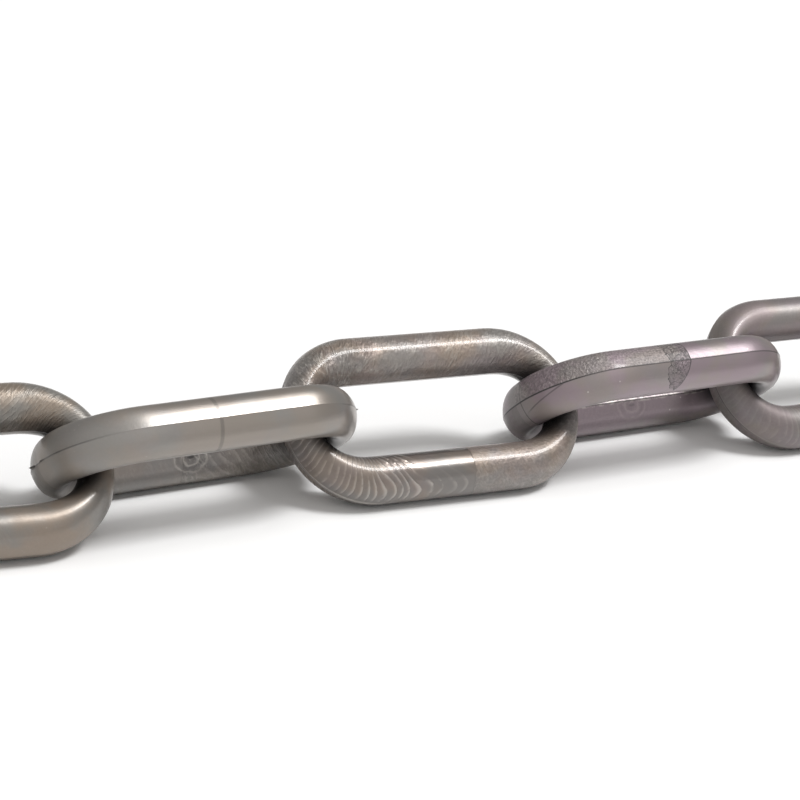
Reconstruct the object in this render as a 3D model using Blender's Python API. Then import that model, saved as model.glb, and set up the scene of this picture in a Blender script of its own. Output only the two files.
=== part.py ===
"""A one metre length of moulded plastic chain, laid on a level floor and doubled back on itself.

Twenty-five closed links are threaded through each other. Each link leans about 42 degrees, one way
and then the other, and rests on its lower side bar. Metres, +Z up, +X along the first arm. The
origin is on the floor, under the centre of the whole length.
"""

import math

import bmesh
import bpy
from mathutils import Matrix, Vector
from mathutils.bvhtree import BVHTree

# One link, measured over its own outline. The bar is thinner where it goes round an end.
LINK_LENGTH = 0.0505
LINK_WIDTH = 0.0276
BAR_DEPTH = 0.0080
SIDE_THICKNESS = 0.00725
END_THICKNESS = 0.0051
CORNER_RADIUS = 0.0131

# How finely a link is cut up: stations round each corner, and the parameters of the section's
# twelve corners in each quarter. The facet between the last two lies flat on the floor at rest.
CORNER_STEPS = 5
FACET_HALF_STEP = math.radians(15)

# How the chain lies.
LINK_GAP = 0.0003
REST_LEAN = math.radians(42.0)

# How far each link leans from the usual angle, in degrees, from the first link to the last.
LEAN_CHANGES = [0, 0, -8, -1, -1, 2, -1, 0, 0, -3, 2, 0, -2, 0, 3, -1, 0, 0, 2, -2, 0, 4, -3, 0, 0]

# The change of heading at each joint, in degrees. The first arm is all but straight, the turn comes
# round clockwise, and the second arm runs back beside the first.
FIRST_ARM_TURNS = [-2, -2, 7, -5, 4, -2, -1, -5]
BEND_TURNS = [-18, -24, -25, -24, -25, -24, -20]
SECOND_ARM_TURNS = [-12, -6, 2, 3, -2, -2, 4, 1, 0]
TURNS = FIRST_ARM_TURNS + BEND_TURNS + SECOND_ARM_TURNS

PLASTIC_COLOUR = (0.235, 0.225, 0.215, 1.0)
PLASTIC_ROUGHNESS = 0.32
PLASTIC_METALLIC = 0.55

UP = Vector((0, 0, 1))


def clear_scene():
    """Removes whatever the file started with."""
    for obj in list(bpy.data.objects):
        bpy.data.objects.remove(obj)


def section_points(thickness, grow=0.0):
    """The bar's section round the bar: (outwards in the link's plane, along the link's normal).

    The corners lie on an ellipse as deep as the bar. The two either side of the point that faces
    the floor at rest make a facet that is level there.
    """
    half_thickness = thickness / 2 + grow
    half_depth = BAR_DEPTH / 2 + grow
    resting = math.atan2(half_depth / half_thickness, math.tan(REST_LEAN))
    quarter = [0.0, resting - FACET_HALF_STEP, resting + FACET_HALF_STEP]
    angles = quarter + [math.pi / 2] + [math.pi - angle for angle in reversed(quarter)]
    angles += [math.pi + angle for angle in quarter[1:]]
    angles += [1.5 * math.pi] + [2 * math.pi - angle for angle in reversed(quarter[1:])]
    return [Vector((half_thickness * math.cos(a), half_depth * math.sin(a))) for a in angles]


def outline():
    """The link's outer outline: (point, outward direction) pairs, anticlockwise, in its plane."""
    reach_x = LINK_LENGTH / 2 - CORNER_RADIUS
    reach_y = LINK_WIDTH / 2 - CORNER_RADIUS
    stations = []
    for quarter, (sign_x, sign_y) in enumerate([(1, 1), (-1, 1), (-1, -1), (1, -1)]):
        centre = Vector((sign_x * reach_x, sign_y * reach_y))
        for step in range(CORNER_STEPS + 1):
            angle = math.pi / 2 * (quarter + step / CORNER_STEPS)
            outwards = Vector((math.cos(angle), math.sin(angle)))
            stations.append((centre + CORNER_RADIUS * outwards, outwards))
    return stations


def link_rings(grow=0.0):
    """The link's surface as rings of points, flat in the XY plane, with its length along X."""
    rings = []
    for edge, outwards in outline():
        end_share = outwards.x**2
        thickness = SIDE_THICKNESS + (END_THICKNESS - SIDE_THICKNESS) * end_share
        middle = edge - thickness / 2 * outwards
        points = section_points(thickness, grow)
        rings.append([(middle + out * outwards).to_3d() + deep * UP for out, deep in points])
    return rings


def ring_faces(rings):
    """The quads that join each ring to the next, and the last to the first, as point numbers."""
    sides = len(rings[0])
    faces = []
    for ring in range(len(rings)):
        start, following = ring * sides, (ring + 1) % len(rings) * sides
        for index in range(sides):
            after = (index + 1) % sides
            faces.append((start + index, following + index, following + after, start + after))
    return faces


def link_mesh():
    """One closed link as a mesh."""
    rings = link_rings()
    shape = bmesh.new()
    points = [shape.verts.new(point) for ring in rings for point in ring]
    for face in ring_faces(rings):
        shape.faces.new([points[index] for index in face])
    bmesh.ops.recalc_face_normals(shape, faces=shape.faces)
    mesh = bpy.data.meshes.new("chain_link")
    shape.to_mesh(mesh)
    shape.free()
    mesh.shade_smooth()
    return mesh


def link_place(centre, heading, lean, side):
    """A link's place: its length along the heading, its raised bar on one side or the other."""
    forward = Vector((math.cos(heading), math.sin(heading), 0))
    left = Vector((-math.sin(heading), math.cos(heading), 0))
    across = side * math.cos(lean) * left + math.sin(lean) * UP
    normal = forward.cross(across)
    place = Matrix((forward, across, normal)).transposed().to_4x4()
    place.translation = centre
    return place


def resting_height(lean):
    """How high a link's centre stands when its lower side bar is on the floor."""
    bar_centre = LINK_WIDTH / 2 - SIDE_THICKNESS / 2
    lowest = max(
        out * math.sin(lean) + deep * math.cos(lean) for out, deep in section_points(SIDE_THICKNESS)
    )
    return bar_centre * math.sin(lean) + lowest


def surface_tree(place, rings):
    """A search tree of a link's surface where it lies."""
    points = [place @ point for ring in rings for point in ring]
    return BVHTree.FromPolygons(points, ring_faces(rings))


def lay_links():
    """Each link's place, threaded one after another along the route and drawn all but taut."""
    true_rings, grown_rings = link_rings(), link_rings(LINK_GAP)
    heading, side = 0.0, 1
    leans = [REST_LEAN + math.radians(change) for change in LEAN_CHANGES]
    centre = Vector((0, 0, resting_height(leans[0])))
    places = [link_place(centre, heading, leans[0], side)]
    for turn, lean in zip(TURNS, leans[1:]):
        next_heading = heading + math.radians(turn)
        side = -side
        step = Vector((math.cos(heading) + math.cos(next_heading), math.sin(heading) + math.sin(next_heading), 0))
        here = surface_tree(places[-1], grown_rings)
        slack = LINK_LENGTH - 2 * END_THICKNESS - 0.0040
        taut = LINK_LENGTH - 2 * END_THICKNESS + 0.0010
        for _ in range(16):
            pitch = (slack + taut) / 2
            trial = centre + pitch / 2 * step
            trial.z = resting_height(lean)
            there = surface_tree(link_place(trial, next_heading, lean, side), true_rings)
            if here.overlap(there):
                taut = pitch
            else:
                slack = pitch
        centre = centre + slack / 2 * step
        centre.z = resting_height(lean)
        heading = next_heading
        places.append(link_place(centre, heading, lean, side))
    return places


def centred(places, mesh):
    """The places moved level, so that the origin is under the middle of the whole length."""
    corners = [place @ vertex.co for place in places for vertex in mesh.vertices]
    middle_x = (min(c.x for c in corners) + max(c.x for c in corners)) / 2
    middle_y = (min(c.y for c in corners) + max(c.y for c in corners)) / 2
    return [Matrix.Translation((-middle_x, -middle_y, 0)) @ place for place in places]


def plastic():
    """Silver-grey pigmented polyethylene, with a satin moulded skin."""
    material = bpy.data.materials.new("silver_plastic")
    material.use_nodes = True
    shader = material.node_tree.nodes["Principled BSDF"]
    shader.inputs["Base Color"].default_value = PLASTIC_COLOUR
    shader.inputs["Roughness"].default_value = PLASTIC_ROUGHNESS
    shader.inputs["Metallic"].default_value = PLASTIC_METALLIC
    return material


def main():
    clear_scene()
    mesh = link_mesh()
    mesh.materials.append(plastic())
    for number, place in enumerate(centred(lay_links(), mesh), start=1):
        link = bpy.data.objects.new(f"link_{number:02d}", mesh)
        link.matrix_world = place
        bpy.context.scene.collection.objects.link(link)


main()
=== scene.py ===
"""Dresses a one metre length of moulded plastic chain for its portrait.

Each link is modelled once as a drawn-out ring of moulded bar, with the mould's parting line round
it, and copied to every place where a link of the frame lies. One plastic, driven by what each
link's mesh carries, gives every link its own skin: smooth, stippled, scratched or marked by the
flow, with the join, the gate and the flash that moulding left.
"""

import logging
import math
from dataclasses import dataclass, field
from enum import Enum
from itertools import accumulate
from typing import Callable, Sequence, Union

import bpy
from mathutils import Matrix, Vector, noise
from mathutils.bvhtree import BVHTree


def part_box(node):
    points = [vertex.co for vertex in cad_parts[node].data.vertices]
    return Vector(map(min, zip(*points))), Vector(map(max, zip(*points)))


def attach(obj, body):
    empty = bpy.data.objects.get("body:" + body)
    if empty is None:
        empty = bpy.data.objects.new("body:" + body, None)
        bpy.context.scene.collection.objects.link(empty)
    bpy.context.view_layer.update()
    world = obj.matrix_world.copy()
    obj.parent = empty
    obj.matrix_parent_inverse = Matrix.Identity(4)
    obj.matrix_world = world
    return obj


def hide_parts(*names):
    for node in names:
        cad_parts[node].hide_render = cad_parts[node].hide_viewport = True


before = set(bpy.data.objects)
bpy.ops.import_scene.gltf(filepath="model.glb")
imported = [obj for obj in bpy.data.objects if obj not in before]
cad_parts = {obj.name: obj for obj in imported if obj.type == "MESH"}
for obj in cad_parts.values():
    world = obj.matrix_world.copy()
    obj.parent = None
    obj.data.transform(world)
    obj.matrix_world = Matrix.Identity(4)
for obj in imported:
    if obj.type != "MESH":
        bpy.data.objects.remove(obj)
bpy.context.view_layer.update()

MM = 0.001
UP = Vector((0, 0, 1))
LOG = logging.getLogger("chain")

# Two heights closer than this are level.
LEVEL = 1e-6

# How near a neighbour, and how near the floor, begins to darken the plastic with painted shade.
SHELTER_REACH = 5.0 * MM
FLOOR_REACH = 2.4 * MM

# How far apart in the noise two links that follow each other lie, in millimetres.
SEED_STEPS = (37.0, 11.0, 5.0)

# The picture's side in pixels, and the camera's sensor in millimetres.
PICTURE = 800
SENSOR = 36.0


class Station(Enum):
    """Where along the chain a link lies."""

    FIRST_ARM = "first arm"
    BEND = "bend"
    SECOND_ARM = "second arm"


class Pick(Enum):
    """What an edit-mode change is made on, as the switches for points, edges and faces."""

    POINTS = (True, False, False)
    EDGES = (False, True, False)


@dataclass(frozen=True)
class Texture:
    """How the skin came out of the mould on one stretch of a link, each from 0 to 1.

    Attributes:
        stipple: How grainy it is.
        flow: How strongly the flow has left crescents across it.
        scratch: How combed it is by fine streaks across the bar.
    """

    stipple: float = 0.0
    flow: float = 0.0
    scratch: float = 0.0


@dataclass(frozen=True)
class Skin:
    """What one link's surface looks like.

    Left and right are the two sides of the join. Front is the mould half on the side of the link's
    normal, and back the other.

    Attributes:
        raised_front_left: The texture there, and likewise for the next five.
        join_raised: Where the join crosses the raised bar, in millimetres from the middle.
        join_lower: Where the join crosses the lower bar, in millimetres from the middle.
        ragged: How far the join strays from straight, in millimetres.
        line: How dark the join's line is, from 0 to 1.
        line_width: Half the width of the join's line, in millimetres.
        patch: How plainly a spilt patch shows beside the join, from 0 to 1.
        spacing: How far apart the crescents are: 1 is 2.8 mm at a bar's middle, and less near its ends.
        warmth: From 0, neutral grey, to 1, brownish grey.
        mauve: From 0, none, to 1, a purplish cast.
        crease: How dark the parting line is, from 0 to 1.
        gate: How plainly the mark of the gate shows, from 0 to 1.
        tip: How dark the mould's lines near the tips are, and the painted shadow line at the step down to
            the left tip, from 0 to 1.
        haze: How much rougher than the glossiest the whole link is.
        shade: How much darker than the palest the whole link is, from 0 to 1.
        flank: How much the outer flank is flattened, 1 being as much as on a smooth link.
    """

    raised_front_left: Texture = Texture()
    raised_front_right: Texture = Texture()
    raised_back_left: Texture = Texture()
    raised_back_right: Texture = Texture()
    lower_left: Texture = Texture()
    lower_right: Texture = Texture()
    join_raised: float = 0.0
    join_lower: float = 0.0
    ragged: float = 0.2
    line: float = 0.2
    line_width: float = 0.12
    patch: float = 0.0
    spacing: float = 1.2
    warmth: float = 0.5
    mauve: float = 0.2
    crease: float = 0.12
    gate: float = 0.7
    tip: float = 0.0
    haze: float = 0.03
    shade: float = 0.1
    flank: float = 0.9


# The stretches of a link that have a texture each, which a link's mesh carries under the same names.
ZONES = (
    "raised_front_left",
    "raised_front_right",
    "raised_back_left",
    "raised_back_right",
    "lower_left",
    "lower_right",
)

# What else a link's mesh carries, three numbers of its skin under each name.
CARRIED = {
    "joins": ("join_raised", "join_lower", "ragged"),
    "seam": ("line", "line_width", "patch"),
    "tone": ("warmth", "mauve", "spacing"),
    "moulding": ("crease", "gate", "tip"),
    "finish": ("haze", "shade", "flank"),
}


@dataclass(frozen=True)
class BarSection:
    """The moulded bar in section: two shallow halves that meet at a lip on the link's plane.

    Attributes:
        side: Thickness of the long bars, in the link's plane.
        end: Thickness where the bar goes round an end, in the link's plane.
        depth: Depth of the bar, along the link's normal.
        lip: How much of each half's roundness is lost at the lip, as an angle in degrees.
        inset: How far the whole bar lies inside the link's outline.
        outer_flash: How far the parting line stands proud round the link's outside.
        inner_flash: How far it stands proud round the eye.
    """

    side: float = 7.6 * MM
    end: float = 5.1 * MM
    depth: float = 7.96 * MM
    lip: float = 6.0
    inset: float = 0.05 * MM
    outer_flash: float = 0.03 * MM
    inner_flash: float = 0.06 * MM

    def thickness(self, end_share: float) -> float:
        """The bar's thickness where it faces the link's end by this share, from 0 to 1."""
        return self.side + (self.end - self.side) * end_share

    def press(self, out: float, deep: float) -> tuple[float, float]:
        """Moves a point of a round section to the moulded one.

        Args:
            out: Place across the bar in the link's plane, from -1 to 1.
            deep: Place along the link's normal, from -1 to 1.

        Returns:
            The same point on the moulded section, in the same units.
        """
        lip = math.radians(self.lip)
        turn = math.atan2(abs(deep), out)
        turn = lip + turn * (math.pi - 2 * lip) / math.pi
        across = math.cos(turn) / math.cos(lip)
        through = (math.sin(turn) - math.sin(lip)) / (1 - math.sin(lip))
        return across, math.copysign(through, deep)

    def flash(self, out: float) -> float:
        """How far the parting line stands out from the link's middle there, under 0 inside the eye."""
        return self.outer_flash if out > 0 else -self.inner_flash


@dataclass
class LinkPattern:
    """The link that every other is copied from, flat in the XY plane with its length along X.

    Attributes:
        length: Over the link's outline.
        width: Over the link's outline.
        corner: Radius of the outline's corners.
        core: Radius of the bar's middle round a corner, on the whole.
        section: The bar in section.
        rings: Stations round the ring before it is drawn out.
        sides: Points round the bar.
        bar_cuts: Stations added along each long bar.
        tip_cuts: Stations added across each tip.
        lip_width: How wide the parting line's own strip is on each half.
        ripple: How far the parting line's height strays, as a share of it.
        ripple_length: How soon it strays.
    """

    length: float = 50.5 * MM
    width: float = 27.6 * MM
    corner: float = 13.1 * MM
    core: float = 10.2 * MM
    section: BarSection = field(default_factory=BarSection)
    rings: int = 120
    sides: int = 32
    bar_cuts: int = 27
    tip_cuts: int = 3
    lip_width: float = 0.16 * MM
    ripple: float = 0.6
    ripple_length: float = 0.8 * MM

    @property
    def reach(self) -> Vector:
        """From the link's centre to the centre of a corner."""
        return Vector((self.length / 2 - self.corner, self.width / 2 - self.corner))

    def build(self) -> bpy.types.Mesh:
        """Makes the link.

        Returns:
            The finished mesh, with its parting line and the places its plastic reads.
        """
        clear_selection()
        tube = self.section.depth / 2
        bpy.ops.mesh.primitive_torus_add(
            major_segments=self.rings,
            minor_segments=self.sides,
            major_radius=self.corner - tube,
            minor_radius=tube,
            rotation=(0, 0, math.pi / self.rings),
        )
        ring = bpy.context.object
        bpy.ops.object.transform_apply(location=False, rotation=True, scale=False)
        self.draw_out(ring)
        self.split_parting_line(ring)
        self.press_section(ring)
        self.crease_parting_line(ring)
        self.note_places(ring)
        mesh = ring.data
        mesh.name = "link_pattern"
        bpy.data.objects.remove(ring)
        return mesh

    def draw_out(self, ring: bpy.types.Object) -> None:
        """Moves the quarters of the ring apart, and cuts what joins them into short lengths.

        Args:
            ring: The round ring.
        """
        for axis, reach in enumerate(self.reach):
            for sign in (1, -1):
                way = Vector((0, 0, 0))
                way[axis] = sign * reach
                select_points(ring, lambda co: co[axis] * sign > 0)
                edit_selected(lambda: bpy.ops.transform.translate(value=way))
        select_edges(ring, lambda a, b: a.x * b.x < 0)
        edit_selected(lambda: bpy.ops.mesh.subdivide(number_cuts=self.bar_cuts), Pick.EDGES)
        select_edges(ring, lambda a, b: a.y * b.y < 0)
        edit_selected(lambda: bpy.ops.mesh.subdivide(number_cuts=self.tip_cuts), Pick.EDGES)

    def split_parting_line(self, ring: bpy.types.Object) -> None:
        """Splits the edge loops where the mould's halves met, to make room for the lip.

        Args:
            ring: The drawn-out ring.
        """
        select_edges(ring, lambda a, b: abs(a.z) < LEVEL and abs(b.z) < LEVEL)
        strip = {"offset": self.lip_width, "segments": 2, "profile": 1.0, "affect": "EDGES"}
        edit_selected(lambda: bpy.ops.mesh.bevel(**strip), Pick.EDGES)

    def press_section(self, ring: bpy.types.Object) -> None:
        """Presses the round bar to its moulded section, thinner round the ends.

        Args:
            ring: The ring, with its parting line cut in.
        """
        tube = self.section.depth / 2
        chord = math.cos(math.pi / self.rings)
        for vertex in ring.data.vertices:
            core, away = self.nearest_core(vertex.co)
            outwards = away.normalized()
            # What was cut in between the quarters lies on a chord of the ring, inside its circle.
            radius = away.length if away.x and away.y else away.length / chord
            out = (radius - self.corner) / tube + 1
            new_out, deep = self.section.press(out, vertex.co.z / tube)
            half = self.section.thickness(outwards.x**2) / 2
            from_core = self.corner - half + new_out * half - self.section.inset
            if abs(vertex.co.z) < LEVEL:
                ripple = 1 + self.ripple * noise.noise(vertex.co / self.ripple_length)
                from_core += self.section.flash(new_out) * min(1.0, ripple)
            place = core + outwards * from_core
            vertex.co = (place.x, place.y, deep * tube)

    def crease_parting_line(self, ring: bpy.types.Object) -> None:
        """Smooths the shading everywhere but along the lip.

        Args:
            ring: The pressed ring.
        """
        ring.data.shade_smooth()
        lip = 2 * self.lip_width
        select_edges(ring, lambda a, b: abs(a.z) < lip and abs(b.z) < lip and abs(a.z - b.z) < LEVEL)
        edit_selected(lambda: bpy.ops.mesh.mark_sharp(), Pick.EDGES)

    def nearest_core(self, point: Vector) -> tuple[Vector, Vector]:
        """The place on the link's inner core that a point belongs to, and the way out from it.

        Args:
            point: A point of the ring.

        Returns:
            The place on the core, and the vector from it to the point, in the link's plane.
        """
        reach = self.reach
        core = Vector((max(-reach.x, min(reach.x, point.x)), max(-reach.y, min(reach.y, point.y))))
        return core, point.to_2d() - core

    def along(self, point: Vector) -> float:
        """How far a point is along its bar and round the end, from the link's middle.

        Args:
            point: A point of the link.

        Returns:
            The distance, with the sign of the point's x.
        """
        core, away = self.nearest_core(point)
        turn = math.atan2(abs(away.x), abs(away.y))
        at_tip = self.reach.y - abs(core.y)
        return math.copysign(abs(core.x) + turn * self.core + at_tip, point.x)

    def fold(self, point: Vector) -> float:
        """How far a point is round the bar.

        Args:
            point: A point of the link.

        Returns:
            The angle in degrees, 0 on the outer lip and 180 on the inner one.
        """
        core, away = self.nearest_core(point)
        half = self.section.thickness(away.normalized().x ** 2) / 2
        return math.degrees(math.atan2(abs(point.z), away.length - self.corner + half))

    def note_places(self, ring: bpy.types.Object) -> None:
        """Writes on the mesh where each point lies on the link, for the plastic to read.

        Args:
            ring: The finished ring.
        """
        mesh = ring.data
        place = mesh.attributes.new("place", "FLOAT_VECTOR", "POINT")
        for item, vertex in zip(place.data, mesh.vertices):
            item.vector = vertex.co / MM
        track = mesh.attributes.new("track", "FLOAT_VECTOR", "POINT")
        for item, vertex in zip(track.data, mesh.vertices):
            item.vector = (self.along(vertex.co) / MM, self.fold(vertex.co), 0)


def note_shelter(mesh: bpy.types.Mesh, neighbours: Sequence[bpy.types.Mesh]) -> None:
    """Writes on a link how closely its neighbours and the floor shelter each point, from 0 to 1.

    Args:
        mesh: The link where it lies.
        neighbours: The links that it is threaded through.
    """
    points, faces = [], []
    for other in neighbours:
        start = len(points)
        points += [vertex.co for vertex in other.vertices]
        faces += [[start + index for index in face.vertices] for face in other.polygons]
    tree = BVHTree.FromPolygons(points, faces)
    values = []
    for vertex in mesh.vertices:
        gap = tree.find_nearest(vertex.co, SHELTER_REACH)[3]
        near = 0.0 if gap is None else 1 - gap / SHELTER_REACH
        values += [near, max(0.0, 1 - vertex.co.z / FLOOR_REACH), 0.0]
    shelter = mesh.attributes.new("shelter", "FLOAT_VECTOR", "POINT")
    shelter.data.foreach_set("vector", values)


def box_centre(node: str) -> Vector:
    """The centre of the box of one of the frame's nodes."""
    low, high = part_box(node)
    return (Vector(low) + Vector(high)) / 2


def write_numbers(mesh: bpy.types.Mesh, name: str, numbers: list[float]) -> None:
    """Writes the same three numbers on every point of a mesh.

    Args:
        mesh: The mesh.
        name: The attribute's name.
        numbers: The three numbers.
    """
    attribute = mesh.attributes.new(name, "FLOAT_VECTOR", "POINT")
    attribute.data.foreach_set("vector", numbers * len(mesh.vertices))


def clear_selection() -> None:
    """Leaves edit mode and deselects everything."""
    if bpy.context.object and bpy.context.object.mode != "OBJECT":
        bpy.ops.object.mode_set(mode="OBJECT")
    bpy.ops.object.select_all(action="DESELECT")


def deselect_parts(mesh: bpy.types.Mesh) -> None:
    """Deselects every point, edge and face of a mesh."""
    for parts in (mesh.vertices, mesh.edges, mesh.polygons):
        parts.foreach_set("select", [False] * len(parts))


def select_points(thing: bpy.types.Object, test: Callable[[Vector], bool]) -> None:
    """Selects the points that pass a test, and nothing else.

    Args:
        thing: The object to select in.
        test: Takes a point's place.
    """
    deselect_parts(thing.data)
    for vertex in thing.data.vertices:
        vertex.select = test(vertex.co)


def select_edges(thing: bpy.types.Object, test: Callable[[Vector, Vector], bool]) -> None:
    """Selects the edges whose two ends pass a test, and nothing else.

    Args:
        thing: The object to select in.
        test: Takes the places of an edge's two ends.
    """
    mesh = thing.data
    deselect_parts(mesh)
    for edge in mesh.edges:
        if test(*(mesh.vertices[index].co for index in edge.vertices)):
            edge.select = True
            for index in edge.vertices:
                mesh.vertices[index].select = True


def edit_selected(change: Callable[[], object], pick: Pick = Pick.POINTS) -> None:
    """Runs an edit-mode change on what is selected in the active object.

    Args:
        change: The operator call to run.
        pick: What is selected.
    """
    bpy.context.tool_settings.mesh_select_mode = pick.value
    bpy.ops.object.mode_set(mode="EDIT")
    change()
    bpy.ops.object.mode_set(mode="OBJECT")


@dataclass(frozen=True)
class Wire:
    """One output socket, to be used in expressions."""

    board: "Board"
    socket: bpy.types.NodeSocket

    def maths(self, operation: str, *values: "Term") -> "Wire":
        """Adds a Math node on these values."""
        return self.board.node("ShaderNodeMath", dict(enumerate(values)), operation=operation)

    def __add__(self, other: "Term") -> "Wire":
        """This plus another."""
        return self.maths("ADD", self, other)

    def __radd__(self, other: "Term") -> "Wire":
        """Another plus this."""
        return self.maths("ADD", other, self)

    def __sub__(self, other: "Term") -> "Wire":
        """This less another."""
        return self.maths("SUBTRACT", self, other)

    def __rsub__(self, other: "Term") -> "Wire":
        """Another less this."""
        return self.maths("SUBTRACT", other, self)

    def __mul__(self, other: "Term") -> "Wire":
        """This times another."""
        return self.maths("MULTIPLY", self, other)

    def __rmul__(self, other: "Term") -> "Wire":
        """Another times this."""
        return self.maths("MULTIPLY", other, self)

    def __truediv__(self, other: "Term") -> "Wire":
        """This over another."""
        return self.maths("DIVIDE", self, other)

    def __pow__(self, other: "Term") -> "Wire":
        """This to a power."""
        return self.maths("POWER", self, other)

    def __abs__(self) -> "Wire":
        """This without its sign."""
        return self.maths("ABSOLUTE", self)

    def root(self) -> "Wire":
        """The square root of this."""
        return self.maths("SQRT", self)

    def fraction(self) -> "Wire":
        """What is left of this over a whole number."""
        return self.maths("FRACT", self)

    def at_least(self, other: "Term") -> "Wire":
        """The larger of this and another."""
        return self.maths("MAXIMUM", self, other)

    def at_most(self, other: "Term") -> "Wire":
        """The smaller of this and another."""
        return self.maths("MINIMUM", self, other)

    def wave(self) -> "Wire":
        """A sine wave from 0 to 1, with one crest where this grows by 1."""
        return self.maths("SINE", self * math.tau) * 0.5 + 0.5

    def step(self, start: "Term", end: "Term") -> "Wire":
        """A smooth step from 0 at start to 1 at end."""
        sockets = {0: self, 1: start, 2: end}
        return self.board.node("ShaderNodeMapRange", sockets, interpolation_type="SMOOTHSTEP")

    def fade(self, near: "Term", far: "Term") -> "Wire":
        """A smooth step from 1 at near to 0 at far."""
        return 1.0 - self.step(near, far)


Term = Union[Wire, float, int]


@dataclass(frozen=True)
class Board:
    """A material's node tree, with the nodes that the finishes are made of."""

    tree: bpy.types.NodeTree

    def node(self, kind: str, sockets: dict, output: Union[int, str] = 0, **settings) -> Wire:
        """Adds a node with its settings, then fills its sockets.

        Args:
            kind: The node's type.
            sockets: Values or wires, by the input's name or number.
            output: The output to return.
            settings: The node's own properties.

        Returns:
            The chosen output.
        """
        node = self.tree.nodes.new(kind)
        for name, value in settings.items():
            setattr(node, name, value)
        for name, value in sockets.items():
            if isinstance(value, Wire):
                self.tree.links.new(value.socket, node.inputs[name])
            else:
                node.inputs[name].default_value = value
        return Wire(self, node.outputs[output])

    def attribute(self, name: str) -> Wire:
        """Reads the three numbers that the mesh carries under a name."""
        return self.node("ShaderNodeAttribute", {}, output="Vector", attribute_name=name)

    def carried(self, name: str) -> dict[str, Wire]:
        """Reads the three numbers of a link's skin that its mesh carries, by the skin's own names."""
        return dict(zip(CARRIED[name], self.split(self.attribute(name))))

    def split(self, vector: Wire) -> tuple[Wire, Wire, Wire]:
        """The three parts of a vector."""
        first = self.node("ShaderNodeSeparateXYZ", {0: vector})
        return tuple(Wire(self, output) for output in first.socket.node.outputs)

    def join(self, x: Term, y: Term, z: Term) -> Wire:
        """A vector of three parts."""
        return self.node("ShaderNodeCombineXYZ", {0: x, 1: y, 2: z})

    def moved(self, vector: Wire, by: Wire) -> Wire:
        """A vector moved by another."""
        return self.node("ShaderNodeVectorMath", {0: vector, 1: by}, operation="ADD")

    def noise(self, vector: Wire, scale: float, detail: float = 2.0) -> Wire:
        """Noise from 0 to 1, at so many grains to the millimetre."""
        sockets = {"Vector": vector, "Scale": scale, "Detail": detail, "Roughness": 0.55}
        return self.node("ShaderNodeTexNoise", sockets)

    def colours(self, share: Term, first: Union[Wire, tuple], second: Union[Wire, tuple]) -> Wire:
        """A colour between two."""
        return self.node("ShaderNodeMix", {0: share, 6: first, 7: second}, output=2, data_type="RGBA")

    def vectors(self, share: Term, first: Wire, second: Wire) -> Wire:
        """A vector between two."""
        return self.node("ShaderNodeMix", {0: share, 4: first, 5: second}, output=1, data_type="VECTOR")


def largest(first: Wire, *others: Wire) -> Wire:
    """The largest of some values.

    Args:
        first: One value.
        others: The rest.

    Returns:
        The largest.
    """
    for other in others:
        first = first.at_least(other)
    return first


@dataclass(frozen=True)
class Spot:
    """Where a point of the plastic is, as the nodes see it, in millimetres unless said.

    Attributes:
        board: The material's nodes.
        grain: The link's own place for noise, different on every link.
        z: Along the link's normal.
        along: Along the bar and round the end.
        fold: Round the bar, in degrees from the outer lip, the same on both halves.
        around: Round the bar from the outer lip, over 0 on the front half.
        from_join: Along the bar from the join, over 0 to its right.
        raised: 1 on the raised bar, and 0 on the lower one.
        front: 1 on the front half, and 0 on the back one.
    """

    board: Board
    grain: Wire
    z: Wire
    along: Wire
    fold: Wire
    around: Wire
    from_join: Wire
    raised: Wire
    front: Wire


@dataclass(frozen=True)
class Reading:
    """What a link's mesh says of its skin there, as the nodes see it.

    Those that share a name with a field of Skin or Texture say what that field says.

    Attributes:
        near: How closely a neighbour shelters the spot, from 0 to 1.
        low: How closely the floor does, from 0 to 1.
    """

    stipple: Wire
    flow: Wire
    scratch: Wire
    line: Wire
    line_width: Wire
    patch: Wire
    warmth: Wire
    mauve: Wire
    spacing: Wire
    crease: Wire
    gate: Wire
    tip: Wire
    haze: Wire
    shade: Wire
    flank: Wire
    near: Wire
    low: Wire


@dataclass(frozen=True)
class Marks:
    """Every mark that a skin can have there, from 0 to 1, before the link says how strongly.

    Attributes:
        grain: Stipple like orange peel.
        combing: Fine streaks across the bar.
        ridges: What the flow's crescents stand up as.
        crests: Their pale crests.
        outline: The outline of the spilt patch.
        inside: What lies within it.
        crackle: Fine wandering lines.
        rings: The rings round the gate, and 0.5 where there are none.
        pit: The gate's dark pit.
        swell: The slow unevenness of the whole skin.
    """

    grain: Wire
    combing: Wire
    ridges: Wire
    crests: Wire
    outline: Wire
    inside: Wire
    crackle: Wire
    rings: Wire
    pit: Wire
    swell: Wire


@dataclass(frozen=True)
class Relief:
    """How high each kind of mark stands.

    Attributes:
        mark: The height that all the others are shares of, in metres.
        grain: Of the stipple.
        patch_grain: Of the spilt patch's stipple, as a share of full stipple.
        ridges: Of the crescents.
        combing: Of the streaks.
        crackle: Of the spilt patch's fine lines.
        rings: Of the rings round the gate.
        flank: How much flatter the bar's outer flank may be than its mesh.
        swell: Of the slow unevenness.
        fine: Of the faint grain that the smoothest skin has.
    """

    mark: float = 0.12 * MM
    grain: float = 2.3
    patch_grain: float = 0.8
    ridges: float = 1.3
    combing: float = 6.0
    crackle: float = 0.4
    rings: float = 0.9
    flank: float = 4.6
    swell: float = 0.8
    fine: float = 0.06


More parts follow.
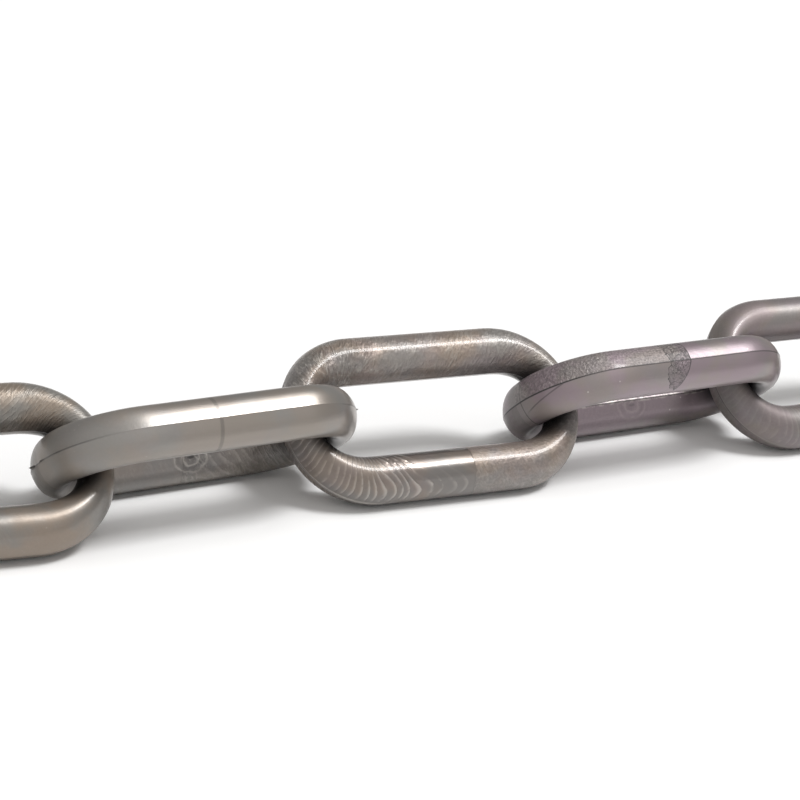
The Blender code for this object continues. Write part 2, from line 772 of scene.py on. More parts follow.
@dataclass(frozen=True)
class Pallor:
    """How pale each kind of mark is, from 0 to 1.

    Attributes:
        crests: The crests of the crescents, partly their own pale tone and partly a painted highlight.
        combing: The streaks, partly their own pale tone and partly painted glints.
        grain: Painted glints on the tops of the stipple.
        rings: The rings round the gate.
        inner_glint: A painted glint along the inner parting line.
        outer_left: The outer edge of a flow-marked lower bar, to the left.
        specks: Specks of flake.
        patch_specks: How much paler the specks are on a link with a patch.
    """

    crests: float = 0.42
    combing: float = 0.62
    grain: float = 0.26
    rings: float = 0.34
    inner_glint: float = 0.55
    outer_left: float = 0.6
    specks: float = 0.15
    patch_specks: float = 0.6


@dataclass(frozen=True)
class Shades:
    """How dark each kind of mark and each stretch is, from 0 to 1.

    Attributes:
        patch: The spilt patch.
        grain: The hollows of the stipple.
        ridges: Between the crescents' ridges, partly their own tone and partly painted shade.
        inner_lip_shade: A painted dark reflection on the raised bar beside its inner lip.
        inner_flow_shade: A painted dark reflection on the inside of a flow-marked lower bar.
        lower: Painted shade over the whole lower bar, the one on the floor.
        outline: The spilt patch's outline.
        crackle: The spilt patch's fine lines.
        tip_crease: How much darker the parting line is towards the tips.
        rings: Between the rings round the gate.
        contact_shade: Painted shade where links bear on each other.
        floor_shade: Painted shade just above the floor.
    """

    patch: float = 0.26
    grain: float = 0.32
    ridges: float = 0.24
    inner_lip_shade: float = 0.25
    inner_flow_shade: float = 0.35
    lower: float = 0.20
    outline: float = 0.9
    crackle: float = 0.8
    tip_crease: float = 0.6
    rings: float = 0.5
    contact_shade: float = 0.94
    floor_shade: float = 0.9


@dataclass(frozen=True)
class Crescents:
    """How the flow's crescents lie along a bar, at a spacing of 1.

    Attributes:
        density: How many there are to a millimetre at the bar's middle.
        crowding: How much their mean number grows with each millimetre from there.
        nose: Where their noses are round the bar, in degrees from the outer lip.
        bend: How fast their arms bend back from the nose, in crescents to a degree squared.
        straightening: How much that slows as they bend.
        unevenness: How far a whole crescent strays from its place, in crescents.
        raggedness: How far its edge strays, in crescents.
        worn_from: Where they begin to be worn off the lower bar, from the join, from and to.
        worn_to: Where they are whole again, likewise.
    """

    density: float = 0.36
    crowding: float = 0.0185
    nose: float = 36.0
    bend: float = 0.0008
    straightening: float = 0.12
    unevenness: float = 1.3
    raggedness: float = 0.16
    worn_from: tuple = (-8.0, -5.5)
    worn_to: tuple = (2.0, 5.0)


@dataclass(frozen=True)
class SilverPlastic:
    """Polyethylene filled with fine silver flake, under a satin moulded skin.

    Attributes:
        neutral: The grey of most of it.
        warm: The brownish grey that drifts through it.
        mauve: The purplish grey of some links.
        dark: The grey of lines and hollows, and of the painted shade of some stretches.
        pale: The grey of crests, streaks, rings and specks, and of painted glints.
        shade_black: The near black of the painted shade where links bear on each other and just above the
            floor.
        metallic: How much the flake mirrors.
        roughness: Of the smooth skin.
        stipple_roughness: What full stipple adds to that.
        scratch_roughness: What full streaks add.
        left_roughness: What is added on the smooth skin at the left of a link.
        swell_roughness: How far it strays.
        coat: How glossy the skin's own reflection is.
        coat_roughness: Its roughness.
        coat_ior: Its index of refraction.
        skin_to_mm: Millimetres to a degree round the bar.
        tip_line: Where the mould's line crosses a tip, along the bar and round the end.
        step_along: Where the front face steps down to the left tip, along the bar.
        gate_along: Where the gate is, along the lower bar.
        gate_fold: Where it is round the bar, in degrees from the outer lip.
        spill_width: How wide the spilt patch is.
        crescents: How the flow's crescents lie.
        relief: The heights of the marks.
        pallor: How pale they are.
        shades: How dark they are.
    """

    neutral: tuple = (0.247, 0.241, 0.227, 1.0)
    warm: tuple = (0.305, 0.247, 0.196, 1.0)
    mauve: tuple = (0.285, 0.228, 0.252, 1.0)
    dark: tuple = (0.06, 0.056, 0.056, 1.0)
    pale: tuple = (0.52, 0.49, 0.45, 1.0)
    shade_black: tuple = (0.012, 0.011, 0.012, 1.0)
    metallic: float = 0.6
    roughness: float = 0.30
    stipple_roughness: float = 0.18
    scratch_roughness: float = 0.17
    left_roughness: float = 0.20
    swell_roughness: float = 0.08
    coat: float = 0.35
    coat_roughness: float = 0.12
    coat_ior: float = 1.45
    skin_to_mm: float = 0.066
    tip_line: float = 27.6
    step_along: float = -20.5
    gate_along: float = 1.4
    gate_fold: float = 168.0
    spill_width: float = 4.1
    crescents: Crescents = Crescents()
    relief: Relief = Relief()
    pallor: Pallor = Pallor()
    shades: Shades = Shades()

    def make(self) -> bpy.types.Material:
        """Builds the material.

        Returns:
            The material, which reads what each link's mesh carries.
        """
        material = bpy.data.materials.new("silver_plastic")
        material.use_nodes = True
        material.node_tree.nodes.clear()
        board = Board(material.node_tree)
        spot = self.spot(board)
        skin = self.reading(spot)
        marks = self.marks(spot, skin)
        colour = self.tone(spot, skin)
        # Towards the dark grey: hollows and marks, and painted shade on some stretches.
        colour = board.colours(self.darkness(spot, skin, marks), colour, self.dark)
        # Towards the pale grey: crests, streaks, rings and specks, and painted glints and highlights.
        colour = board.colours(self.paleness(spot, skin, marks), colour, self.pale)
        colour = board.colours(self.lines(spot, skin, marks), colour, self.dark)
        # Painted shade: near black where links bear on each other and just above the floor.
        colour = board.colours(self.contact_shade(spot, skin), colour, self.shade_black)
        height = self.height(spot, skin, marks)
        sockets = {"Height": height, "Distance": self.relief.mark, "Strength": 1.0}
        shader = board.node(
            "ShaderNodeBsdfPrincipled",
            {
                "Base Color": colour,
                "Metallic": self.metallic,
                "Roughness": self.dullness(spot, skin, marks),
                "Coat Weight": self.coat,
                "Coat Roughness": self.coat_roughness,
                "Coat IOR": self.coat_ior,
                "Normal": board.node("ShaderNodeBump", sockets, output="Normal"),
            },
        )
        output = board.tree.nodes.new("ShaderNodeOutputMaterial")
        board.tree.links.new(shader.socket, output.inputs["Surface"])
        return material

    def spot(self, board: Board) -> Spot:
        """Reads where a point is.

        Args:
            board: The material's nodes.

        Returns:
            The point's place, as the finishes read it.
        """
        place = board.attribute("place")
        grain = board.moved(place, board.attribute("seed"))
        _, y, z = board.split(place)
        along, fold, _ = board.split(board.attribute("track"))
        raised, front = y.step(-0.02, 0.02), z.step(-0.02, 0.02)
        around = fold * (front * 2.0 - 1.0) * self.skin_to_mm
        joins = board.carried("joins")
        stray = (board.noise(grain, 0.45, 3) - 0.5) * joins["ragged"] * 2.0
        join = joins["join_lower"] + (joins["join_raised"] - joins["join_lower"]) * raised
        return Spot(board, grain, z, along, fold, around, along - join + stray, raised, front)

    def reading(self, spot: Spot) -> Reading:
        """Reads what the link's mesh says of its skin there.

        Args:
            spot: Where the point is.

        Returns:
            All that is said there.
        """
        board = spot.board
        carried = {}
        for name in ("seam", "tone", "moulding", "finish"):
            carried.update(board.carried(name))
        stipple, flow, scratch = board.split(self.texture(spot, carried["line"]))
        near, low, _ = board.split(board.attribute("shelter"))
        return Reading(stipple=stipple, flow=flow, scratch=scratch, near=near, low=low, **carried)

    def texture(self, spot: Spot, line: Wire) -> Wire:
        """The stipple, the flow and the scratch there, as one vector.

        Args:
            spot: Where the point is.
            line: How dark the join is. Where it is no line, the textures blend across it.

        Returns:
            The vector.
        """
        board = spot.board
        blur = line.fade(0.0, 0.05) * spot.raised * 3.0 + 0.06
        right = spot.from_join.step(blur * -1.0, blur)
        sides = {
            name: board.vectors(right, board.attribute(f"{name}_left"), board.attribute(f"{name}_right"))
            for name in ("raised_front", "raised_back", "lower")
        }
        raised = board.vectors(spot.front, sides["raised_back"], sides["raised_front"])
        return board.vectors(spot.raised, sides["lower"], raised)

    def marks(self, spot: Spot, skin: Reading) -> Marks:
        """Draws every mark that a skin can have.

        Args:
            spot: Where the point is.
            skin: What the link's mesh says of its skin there.

        Returns:
            The marks, each at full strength.
        """
        ridges, crests = self.flow_marks(spot, skin.spacing)
        outline, inside = self.spill(spot)
        rings, pit = self.gate(spot)
        return Marks(
            grain=self.stippling(spot),
            combing=self.combing(spot),
            ridges=ridges,
            crests=crests,
            outline=outline,
            inside=inside,
            crackle=self.crackle(spot),
            rings=rings,
            pit=pit,
            swell=spot.board.noise(spot.grain, 0.16),
        )

    def height(self, spot: Spot, skin: Reading, marks: Marks) -> Wire:
        """How high the skin stands, as a share of a full mark.

        Args:
            spot: Where the point is.
            skin: What the link's mesh says of its skin there.
            marks: The marks that a skin can have there.

        Returns:
            The height.
        """
        relief = self.relief
        patch = marks.inside * skin.patch
        flatter = spot.fold.step(0.0, 95.0) * skin.flank * (spot.raised * 0.5 + 0.5)
        return (
            marks.grain * largest(skin.stipple, patch * relief.patch_grain) * relief.grain
            + marks.ridges * skin.flow * relief.ridges
            + marks.combing * (skin.scratch**3.0) * relief.combing
            + marks.crackle * patch * relief.crackle
            + marks.rings * skin.gate * relief.rings
            + flatter * relief.flank
            + marks.swell * relief.swell
            + spot.board.noise(spot.grain, 5.0, 3) * relief.fine
        )

    def tone(self, spot: Spot, skin: Reading) -> Wire:
        """The plastic's colour, which drifts along the link.

        Args:
            spot: Where the point is.
            skin: What the link's mesh says of its skin there.

        Returns:
            The colour, before any mark.
        """
        board = spot.board
        drift = board.noise(spot.grain, 0.13, 3).step(0.36, 0.60)
        colour = board.colours(skin.warmth * (0.15 + drift * 0.95), self.neutral, self.warm)
        cast = board.noise(spot.grain, 0.17, 2).step(0.42, 0.62) * 0.6
        inner = spot.fold.step(112.0, 140.0) * 0.5
        return board.colours(skin.mauve * (cast + inner + 0.35), colour, self.mauve)

    def darkness(self, spot: Spot, skin: Reading, marks: Marks) -> Wire:
        """How far the skin's hollows and marks, and the painted shade of some stretches, go towards the
        dark grey.

        Args:
            spot: Where the point is.
            skin: What the link's mesh says of its skin there.
            marks: The marks that a skin can have there.

        Returns:
            The share of dark grey, from 0 to 1.
        """
        shades, lower = self.shades, 1.0 - spot.raised
        return (
            marks.inside * skin.patch * shades.patch
            + marks.grain.fade(0.40, 0.56) * skin.stipple * shades.grain
            # Between the crescents' ridges: partly their own tone, partly painted shade.
            + marks.ridges.fade(0.0, 0.5) * skin.flow * shades.ridges
            + skin.shade
            # Painted dark reflection beside the raised bar's inner lip.
            + spot.fold.step(144.0, 158.0) * spot.raised * shades.inner_lip_shade
            # Painted dark reflection inside a flow-marked lower bar.
            + spot.fold.step(116.0, 134.0) * skin.flow * lower * shades.inner_flow_shade
            # Painted shade over the whole lower bar.
            + lower * shades.lower
        )

    def paleness(self, spot: Spot, skin: Reading, marks: Marks) -> Wire:
        """How far crests, streaks, rings, specks and painted glints go towards the pale grey.

        Args:
            spot: Where the point is.
            skin: What the link's mesh says of its skin there.
            marks: The marks that a skin can have there.

        Returns:
            The share of pale grey, from 0 to 1.
        """
        pallor = self.pallor
        outer_left = spot.fold.fade(2.0, 7.0) * spot.along.fade(-15.0, -9.0) * (1.0 - spot.raised)
        return largest(
            # Partly the crests' own pale tone, partly a painted highlight where they catch the light.
            marks.crests * skin.flow * pallor.crests,
            # Partly the streaks' own pale tone, partly painted glints.
            marks.combing.step(0.42, 0.66) * (skin.scratch**2.0) * pallor.combing,
            # Painted glints on the tops of the stipple.
            marks.grain.step(0.54, 0.66) * skin.stipple * pallor.grain,
            marks.rings.step(0.6, 1.0) * skin.gate * pallor.rings,
            # A painted glint along the inner parting line.
            self.inner_glint(spot) * pallor.inner_glint,
            outer_left * skin.flow * pallor.outer_left,
            self.specks(spot) * (skin.patch * pallor.patch_specks + pallor.specks),
        )

    def lines(self, spot: Spot, skin: Reading, marks: Marks) -> Wire:
        """How far the join, the parting line, the other fine lines and the painted shadow line at the left
        tip's step go towards the dark grey.

        Args:
            spot: Where the point is.
            skin: What the link's mesh says of its skin there.
            marks: The marks that a skin can have there.

        Returns:
            The share of dark grey, from 0 to 1.
        """
        shades = self.shades
        near_tip = abs(spot.along).step(15.0, 23.0)
        beside_patch = 1.0 - spot.around.step(0.2, 0.9) * skin.patch
        join = abs(spot.from_join).fade(skin.line_width * 0.4, skin.line_width) * skin.line
        return largest(
            join * spot.raised * beside_patch,
            marks.outline * skin.patch * shades.outline,
            marks.crackle * marks.inside * skin.patch * shades.crackle,
            abs(spot.z).fade(0.06, 0.17) * (skin.crease + near_tip * shades.tip_crease),
            abs(abs(spot.along) - self.tip_line).fade(0.05, 0.14) * skin.tip * spot.raised,
            # A painted shadow line at the step down to the left tip.
            self.step_shadow(spot) * skin.tip,
            marks.pit * skin.gate,
            (0.5 - marks.rings) * skin.gate * shades.rings,
        )

    def contact_shade(self, spot: Spot, skin: Reading) -> Wire:
        """How dark the painted shade is where links bear on each other, and just above the floor."""
        touching = skin.near.step(0.28, 0.92) * spot.fold.step(50.0, 120.0) * self.shades.contact_shade
        return touching.at_least(skin.low * skin.low * self.shades.floor_shade)

    def dullness(self, spot: Spot, skin: Reading, marks: Marks) -> Wire:
        """The skin's roughness.

        Args:
            spot: Where the point is.
            skin: What the link's mesh says of its skin there.
            marks: The marks that a skin can have there.

        Returns:
            The roughness, from 0 to 1.
        """
        at_left = spot.along.fade(-17.0, -8.0) * (1.0 - skin.stipple) * (1.0 - skin.scratch)
        return (
            skin.haze
            + skin.stipple * self.stipple_roughness
            + skin.scratch * self.scratch_roughness
            + at_left * self.left_roughness
            + (marks.swell - 0.5) * self.swell_roughness
            + self.roughness
        )

    def stippling(self, spot: Spot) -> Wire:
        """Grain like orange peel, from 0 to 1."""
        board = spot.board
        return board.noise(spot.grain, 2.4, 3) * 0.85 + board.noise(spot.grain, 6.0, 2) * 0.15

    def flow_marks(self, spot: Spot, spacing: Wire) -> tuple[Wire, Wire]:
        """What the cooling front left across the bar.

        Args:
            spot: Where the point is.
            spacing: How far apart the crescents are.

        Returns:
            The overlapping ridges, and their pale crests.
        """
        board, shape = spot.board, self.crescents
        off_nose = spot.fold - shape.nose
        bend = off_nose * off_nose * shape.bend
        bow = bend / (bend * shape.straightening + 1.0) * (1.0 - abs(spot.along).step(9.0, 18.0) * 0.5)
        seed = board.split(spot.grain)[2] - spot.z
        lane = board.join(spot.along * 0.28, spot.around * 0.09, seed)
        uneven = (board.noise(lane, 1.0, 0) - 0.5) * shape.unevenness
        ragged = (board.noise(spot.grain, 0.9) - 0.5) * shape.raggedness
        count = spot.along * (abs(spot.along) * shape.crowding + shape.density)
        share = ((count + bow) / spacing + (uneven + ragged)).fraction()
        ridge = share * share * share.fade(0.86, 1.0)
        crest = share.step(0.50, 0.84) * share.fade(0.88, 0.99)
        inwards = spot.fold.step(48.0, 72.0)
        late = (spot.from_join + inwards * 4.0).step(*shape.worn_from) * spot.from_join.fade(*shape.worn_to)
        unworn = 1.0 - late * (inwards * 0.3 + 0.6) * (1.0 - spot.raised)
        under_way = 1.0 - spot.along.fade(-20.0, -14.0) * 0.6
        off_lip = spot.fold.step(6.0, 20.0)
        faint = board.noise(spot.grain, 0.6).step(0.30, 0.52) * unworn * off_lip * under_way
        return ridge * (faint * 0.75 + 0.25) * unworn, crest * faint

    def combing(self, spot: Spot) -> Wire:
        """Fine streaks that run round the bar, a little aslant, from 0 to 1.

        Args:
            spot: Where the point is.

        Returns:
            How far into a streak the point is.
        """
        board = spot.board
        aslant = spot.along + spot.around * 0.45
        seed = board.split(spot.grain)[2]
        coarse = board.noise(board.join(aslant * 2.4, spot.around * 0.50, seed), 1.0, 2)
        fine = board.noise(board.join(aslant * 6.5, spot.around * 1.1, seed), 1.0, 2)
        drift = board.noise(spot.grain, 0.35).step(0.25, 0.6)
        return (coarse * 0.65 + fine * 0.35) * (drift * 0.7 + 0.3)

    def spill(self, spot: Spot) -> tuple[Wire, Wire]:
        """The patch that spilt over beside the join: its outline, and what is inside.

        Args:
            spot: Where the point is.

        Returns:
            The outline, and 1 inside it.
        """
        down = spot.around.at_least(0.0)
        stray = (spot.board.noise(spot.grain, 0.7, 3) - 0.5) * 2.6
        from_right = down * (down * -0.045 - 0.30) - spot.from_join
        from_left = spot.from_join + self.spill_width + stray + down * (down * -0.19 + 0.75)
        reach = from_right.at_most(from_left)
        return abs(reach).fade(0.03, 0.13) * spot.raised, reach.step(0.0, 0.08) * spot.raised

    def crackle(self, spot: Spot) -> Wire:
        """Fine wandering lines, from 0 to 1."""
        folds = abs(spot.board.noise(spot.grain, 1.2, 3) - 0.5)
        return folds.fade(0.0, 0.04)

    def gate(self, spot: Spot) -> tuple[Wire, Wire]:
        """The mark where the plastic entered, on the lower bar: its rings, and its dark pit.

        Args:
            spot: Where the point is.

        Returns:
            The rings, and the pit.
        """
        across = spot.along - self.gate_along
        inwards = (spot.fold - self.gate_fold) * self.skin_to_mm
        lower = 1.0 - spot.raised
        stray = (spot.board.noise(spot.grain, 0.7, 3) - 0.5) * 1.5
        reach = (across * across + inwards * inwards * 1.25).root()
        rings = (((reach + stray - 1.05) * 0.72).wave() - 0.5) * reach.fade(2.5, 3.6) * lower + 0.5
        pit = (across * across * 0.5 + inwards * inwards * 3.0).root().fade(0.25, 0.65) * lower
        return rings, pit

    def step_shadow(self, spot: Spot) -> Wire:
        """The painted shadow line where the front face steps down to the left tip, from 0 to 1."""
        off = abs(spot.along - self.step_along + spot.around * 2.2)
        return off.fade(0.15, 0.5) * spot.raised * spot.front * spot.around.fade(2.4, 3.2)

    def inner_glint(self, spot: Spot) -> Wire:
        """A painted glint along the inner parting line of the lower bar, broken into patches, from 0 to 1.
        """
        glinting = spot.board.noise(spot.grain, 0.9, 3).step(0.42, 0.60)
        return spot.fold.step(172.5, 177.0) * glinting * (1.0 - spot.raised)

    def specks(self, spot: Spot) -> Wire:
        """Small bright specks of flake, from 0 to 1."""
        sockets = {"Vector": spot.grain, "Scale": 0.4}
        return spot.board.node("ShaderNodeTexVoronoi", sockets, output="Distance").fade(0.04, 0.065)


@dataclass(frozen=True)
class Nib:
    """A scrap of flash left standing on the outer parting line.

    Attributes:
        along: Where it is, along the bar and round the end, in millimetres.
        height: How far it stands, in millimetres.
        raised: Whether it is on the raised bar's half of the link.
    """

    along: float
    height: float
    raised: bool = True

    def pull_out(self, mesh: bpy.types.Mesh) -> None:
        """Pulls the nearest point of the outer parting line out into the nib.

        Args:
            mesh: The link, still flat.
        """
        places, tracks = mesh.attributes["place"].data, mesh.attributes["track"].data
        off_plane, off_lip = 0.01, 1.0
        outer_lip = [
            index
            for index, item in enumerate(places)
            if abs(item.vector.z) < off_plane
            and tracks[index].vector.y < off_lip
            and (item.vector.y > 0) == self.raised
        ]
        nearest = min(outer_lip, key=lambda index: abs(tracks[index].vector.x - self.along))
        outwards = mesh.vertices[nearest].co.normalized()
        mesh.vertices[nearest].co += outwards * self.height * MM


@dataclass
class ChainLink:
    """One link where it lies.

    Attributes:
        number: Its number, from 1.
        heading: Which way it runs, in degrees from +X.
        lean: How far its plane leans up from the floor, in degrees.
        side: 1 where its raised bar is on the left of its heading, -1 on the right.
        station: Where along the chain it lies.
        skin: What its surface looks like.
        nibs: The scraps of flash on it.
    """

    number: int
    heading: float
    lean: float
    side: int
    station: Station
    skin: Skin
    nibs: Sequence[Nib] = ()

    @property
    def node(self) -> str:
        """The name of the frame's node."""
        return f"link_{self.number:02d}"

    def place(self) -> Matrix:
        """Where the link lies, as a matrix.

        Returns:
            The matrix that takes the pattern to the link's place.
        """
        heading, lean = math.radians(self.heading), math.radians(self.lean)
        forward = Vector((math.cos(heading), math.sin(heading), 0))
        left = Vector((-math.sin(heading), math.cos(heading), 0))
        across = self.side * math.cos(lean) * left + math.sin(lean) * UP
        place = Matrix((forward, across, forward.cross(across))).transposed().to_4x4()
        place.translation = box_centre(self.node)
        return place

    def build(self, pattern: bpy.types.Mesh, plastic: bpy.types.Material) -> bpy.types.Object:
        """Copies the pattern to the link's place and writes its skin on it.

        Args:
            pattern: The link that is copied.
            plastic: What it is made of.

        Returns:
            The link, riding on the frame in place of its node.
        """
        mesh = pattern.copy()
        mesh.name = f"moulded_{self.node}"
        for nib in self.nibs:
            nib.pull_out(mesh)
        mesh.transform(self.place())
        write_numbers(mesh, "seed", [self.number * step for step in SEED_STEPS])
        for name, fields in CARRIED.items():
            write_numbers(mesh, name, [getattr(self.skin, each) for each in fields])
        for zone in ZONES:
            texture = getattr(self.skin, zone)
            write_numbers(mesh, zone, [texture.stipple, texture.flow, texture.scratch])
        mesh.materials.clear()
        mesh.materials.append(plastic)
        link = bpy.data.objects.new(f"moulded_{self.node}", mesh)
        bpy.context.scene.collection.objects.link(link)
        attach(link, "root")
        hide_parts(self.node)
        return link


SMOOTH = Skin(
    raised_front_left=Texture(0.05, 0.0, 0.08),
    raised_back_left=Texture(0.08, 0.0, 0.12),
    lower_left=Texture(0.10, 0.1, 0.35),
    lower_right=Texture(0.15, 0.4, 0.70),
    join_raised=-2.1,
    ragged=0.05,
    line=0.34,
    line_width=0.42,
    warmth=0.40,
    mauve=0.1,
    crease=0.03,
    gate=1.0,
    haze=0.0,
    shade=0.0,
    flank=1.0,
)
FLOW_MARKED = Skin(
    raised_front_left=Texture(0.14, 0.0, 1.0),
    raised_front_right=Texture(0.25, 0.0, 0.75),
    lower_left=Texture(0.0, 1.0, 0.10),
    lower_right=Texture(0.40, 0.0, 0.60),
    join_raised=-9.0,
    join_lower=2.9,
    ragged=0.5,
    line=0.0,
    spacing=1.0,
    warmth=0.90,
    mauve=0.28,
    crease=0.10,
    haze=0.0,
    shade=0.0,
    flank=1.25,
)
STIPPLED = Skin(
    raised_front_left=Texture(0.05, 0.0, 0.0),
    raised_back_left=Texture(1.0, 0.0, 0.35),
    raised_back_right=Texture(0.10, 0.0, 0.1),
    lower_left=Texture(0.15, 0.0, 0.2),
    lower_right=Texture(0.10, 0.0, 0.2),
    join_raised=0.3,
    ragged=0.15,
    line=0.5,
    patch=1.0,
    warmth=0.40,
    mauve=1.0,
    crease=0.65,
    gate=0.4,
    tip=0.6,
    haze=0.05,
    shade=0.03,
    flank=0.3,
)
STREAKED = Skin(
    raised_front_left=Texture(0.1, 0.2, 0.55),
    raised_front_right=Texture(0.05, 0.25, 0.65),
    lower_right=Texture(0.05, 0.0, 0.25),
    line=0.0,
    spacing=0.6,
    warmth=0.9,
    mauve=0.0,
    haze=0.05,
    shade=0.08,
)
DULL = Skin(
    raised_front_left=Texture(0.1, 0.0, 0.3),
    raised_front_right=Texture(0.15, 0.1, 0.3),
    lower_left=Texture(0.1, 0.2, 0.2),
    line=0.1,
    warmth=0.5,
    mauve=0.6,
    haze=0.10,
    shade=0.14,
)

# The skins of the links, first to last, along each stretch of the chain.
FIRST_ARM_SKINS = (DULL, SMOOTH, STREAKED, SMOOTH, FLOW_MARKED, STIPPLED, DULL, SMOOTH, STREAKED)
BEND_SKINS = (STIPPLED, DULL, FLOW_MARKED, SMOOTH, STREAKED, DULL, SMOOTH)
SECOND_ARM_SKINS = (
    (STIPPLED, FLOW_MARKED, DULL, STREAKED, SMOOTH) + (STIPPLED, DULL, FLOW_MARKED, STREAKED)
)


@dataclass
class ChainLength:
    """The whole length as it lies, which repeats how the frame's links were laid.

    Attributes:
        usual_lean: How far a link leans, in degrees.
        lean_changes: How far each link leans from that, on each stretch.
        turns: The change of heading at each joint, on each stretch, in degrees.
        skins: The skins of the links.
        nibs: The scraps of flash, by the number of the link they are on.
        first_arm_end: The number of the first arm's last link.
        bend_end: The number of the bend's last link.
    """

    usual_lean: float = 42.0
    lean_changes: tuple = (
        (0, 0, -8, -1, -1, 2, -1, 0, 0) + (-3, 2, 0, -2, 0, 3, -1) + (0, 0, 2, -2, 0, 4, -3, 0, 0)
    )
    turns: tuple = (
        (-2, -2, 7, -5, 4, -2, -1, -5)
        + (-18, -24, -25, -24, -25, -24, -20)
        + (-12, -6, 2, 3, -2, -2, 4, 1, 0)
    )
    skins: tuple = FIRST_ARM_SKINS + BEND_SKINS + SECOND_ARM_SKINS
    nibs: dict = field(
        default_factory=lambda: {
            4: (Nib(-27.3, 0.75, False), Nib(-27.6, 0.30), Nib(-24.0, 0.25), Nib(23.0, 0.30)),
            6: (Nib(23.5, 0.40),),
            19: (Nib(24.0, 0.30),),
            21: (Nib(-25.0, 0.30),),
        }
    )
    first_arm_end: int = 9
    bend_end: int = 16

    def station(self, number: int) -> Station:
        """Where along the chain a link lies, by its number.

        Args:
            number: The link's number, from 1.

        Returns:
            The stretch of the chain.
        """
        if number <= self.first_arm_end:
            return Station.FIRST_ARM
        return Station.BEND if number <= self.bend_end else Station.SECOND_ARM

    def links(self) -> list[ChainLink]:
        """The links, first to last.

        Returns:
            The links, each with its place and skin.
        """
        headings = accumulate(self.turns, initial=0.0)
        rows = enumerate(zip(headings, self.lean_changes, self.skins), start=1)
        return [
            ChainLink(
                number=number,
                heading=heading,
                lean=self.usual_lean + change,
                side=1 if number % 2 else -1,
                station=self.station(number),
                skin=skin,
                nibs=self.nibs.get(number, ()),
            )
            for number, (heading, change, skin) in rows
        ]

    def build(self) -> None:
        """Makes the plastic, the pattern and every link."""
        plastic = SilverPlastic().make()
        pattern = LinkPattern().build()
        links = self.links()
        made = [link.build(pattern, plastic).data for link in links]
        bpy.data.meshes.remove(pattern)
        for index, link in enumerate(links):
            note_shelter(made[index], made[max(index - 1, 0) : index] + made[index + 1 : index + 2])
            LOG.info("%s on the %s: %d faces", link.node, link.station.value, len(made[index].polygons))


@dataclass(frozen=True)
class Softbox:
    """One soft area light.

    Attributes:
        name: The light's name.
        offset: Where it is from what it is aimed at, in metres.
        width: Along X, or as near as it can be, in metres.
        depth: Along Y, or as near as it can be, in metres.
        power: In watts.
    """

    name: str
    offset: tuple
    width: float
    depth: float
    power: float

    def build(self, target: Vector) -> None:
        """Adds the light.

        Args:
            target: What it is aimed at.
        """
        data = bpy.data.lights.new(self.name, "AREA")
        data.shape = "RECTANGLE"
        data.size, data.size_y = self.width, self.depth
        data.energy = self.power
        back = Vector(self.offset).normalized()
        across = Vector((0, 1, 0)).cross(back).normalized()
        light = bpy.data.objects.new(self.name, data)
        light.matrix_world = Matrix((across, back.cross(across), back)).transposed().to_4x4()
        light.location = target + Vector(self.offset)
        bpy.context.scene.collection.objects.link(light)


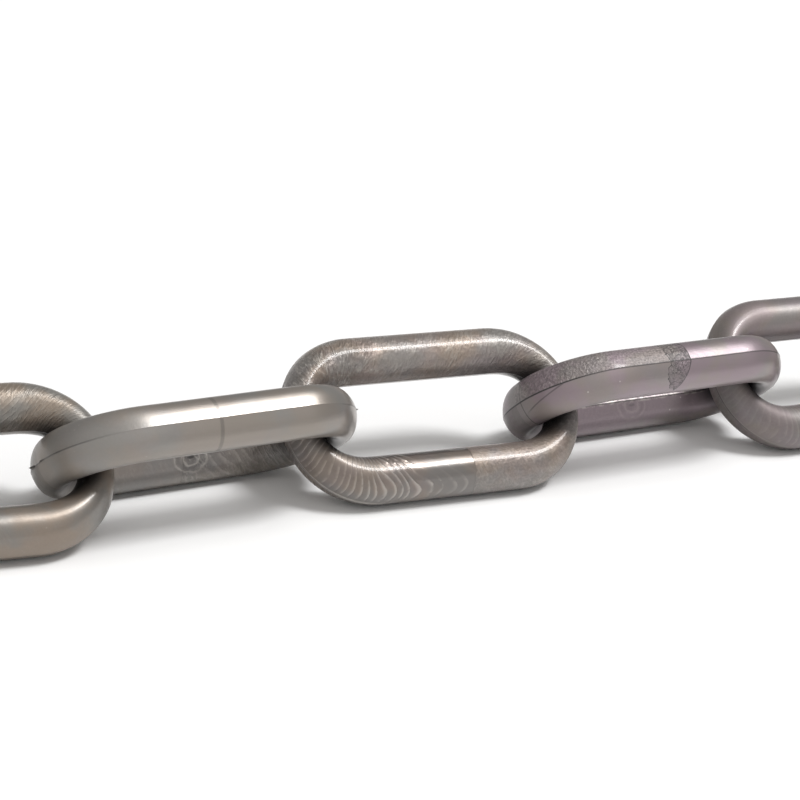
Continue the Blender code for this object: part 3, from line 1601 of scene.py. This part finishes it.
@dataclass
class Studio:
    """The pale floor, the lights and the camera.

    Attributes:
        subject: The node of the link in the middle of the picture.
        aim: The pixel where that link's centre falls.
        distance: From the camera to it, in metres.
        lens_pixels: The focal length in pixels of the picture.
        clip: The nearest and the furthest that the camera sees, in metres.
        yaw: How far the camera looks to the right of +Y, in degrees.
        elevation: How far it looks down, in degrees.
        roll: How far it is turned about its own axis, in degrees.
        floor_size: The side of the floor, in metres.
        paper: The floor's colour.
        paper_roughness: The floor's roughness.
        room: The colour of the room's own light.
        dim: How bright the room is behind the chain.
        bright: How bright it is on the camera's side.
        bright_side: Where the bright side is.
        falloff: How squarely the dimmest and the brightest ways face the bright side, as cosines.
        softboxes: The lights.
    """

    subject: str = "link_05"
    aim: tuple = (431.8, 414.4)
    distance: float = 341.5 * MM
    lens_pixels: float = 2187.2
    clip: tuple = (0.01, 20.0)
    yaw: float = 30.93
    elevation: float = 23.885
    roll: float = 7.493
    floor_size: float = 6.0
    paper: tuple = (0.86, 0.86, 0.86, 1)
    paper_roughness: float = 0.6
    room: tuple = (1.0, 0.985, 0.965, 1)
    dim: float = 0.26
    bright: float = 0.85
    bright_side: tuple = (-0.50, -0.84, 0.21)
    falloff: tuple = (-0.1, 0.8)
    softboxes: tuple = (
        Softbox("softbox_key", (1.50, -0.75, 3.00), 0.90, 0.95, 80.0),
        Softbox("softbox_wide", (1.58, -0.06, 3.05), 1.65, 1.65, 34.0),
    )

    def build(self) -> None:
        """Sets the whole studio up."""
        self.add_camera()
        self.add_floor()
        self.add_room()
        for softbox in self.softboxes:
            softbox.build(box_centre(self.subject))

    def add_camera(self) -> None:
        """Places the camera by where the middle link falls in the picture."""
        yaw, elevation, roll = map(math.radians, (self.yaw, self.elevation, self.roll))
        level_ahead = Vector((math.sin(yaw), math.cos(yaw), 0))
        ahead = level_ahead * math.cos(elevation) - UP * math.sin(elevation)
        level = Vector((math.cos(yaw), -math.sin(yaw), 0))
        over = level.cross(ahead)
        right = level * math.cos(roll) + over * math.sin(roll)
        up = over * math.cos(roll) - level * math.sin(roll)
        across = (self.aim[0] - PICTURE / 2) / self.lens_pixels
        down = (self.aim[1] - PICTURE / 2) / self.lens_pixels
        ray = ahead + right * across - up * down
        data = bpy.data.cameras.new("camera")
        data.sensor_width = SENSOR
        data.lens = self.lens_pixels * SENSOR / PICTURE
        data.clip_start, data.clip_end = self.clip
        camera = bpy.data.objects.new("camera", data)
        camera.matrix_world = Matrix((right, up, -ahead)).transposed().to_4x4()
        camera.location = box_centre(self.subject) - ray * self.distance
        bpy.context.scene.collection.objects.link(camera)
        bpy.context.scene.camera = camera

    def add_floor(self) -> None:
        """A wide white floor, level with the underside of the links."""
        clear_selection()
        bpy.ops.mesh.primitive_plane_add(size=self.floor_size, location=(0, 0, 0))
        floor = bpy.context.object
        floor.name = "floor"
        paper = bpy.data.materials.new("white_paper")
        paper.use_nodes = True
        shader = paper.node_tree.nodes["Principled BSDF"]
        shader.inputs["Base Color"].default_value = self.paper
        shader.inputs["Roughness"].default_value = self.paper_roughness
        floor.data.materials.append(paper)

    def add_room(self) -> None:
        """A pale room, brighter on the camera's side, shown with plain contrast."""
        bpy.context.scene.view_settings.view_transform = "Standard"
        world = bpy.data.worlds.new("room")
        world.use_nodes = True
        background = world.node_tree.nodes["Background"]
        background.inputs["Color"].default_value = self.room
        board = Board(world.node_tree)
        way = board.node("ShaderNodeTexCoord", {}, output="Generated")
        sockets = {0: way, 1: self.bright_side}
        facing = board.node("ShaderNodeVectorMath", sockets, output="Value", operation="DOT_PRODUCT")
        strength = facing.step(*self.falloff) * (self.bright - self.dim) + self.dim
        world.node_tree.links.new(strength.socket, background.inputs["Strength"])
        bpy.context.scene.world = world


def main() -> None:
    """Builds the chain and its studio."""
    logging.basicConfig(level=logging.INFO, format="%(message)s")
    ChainLength().build()
    Studio().build()


if __name__ == "__main__":
    main()
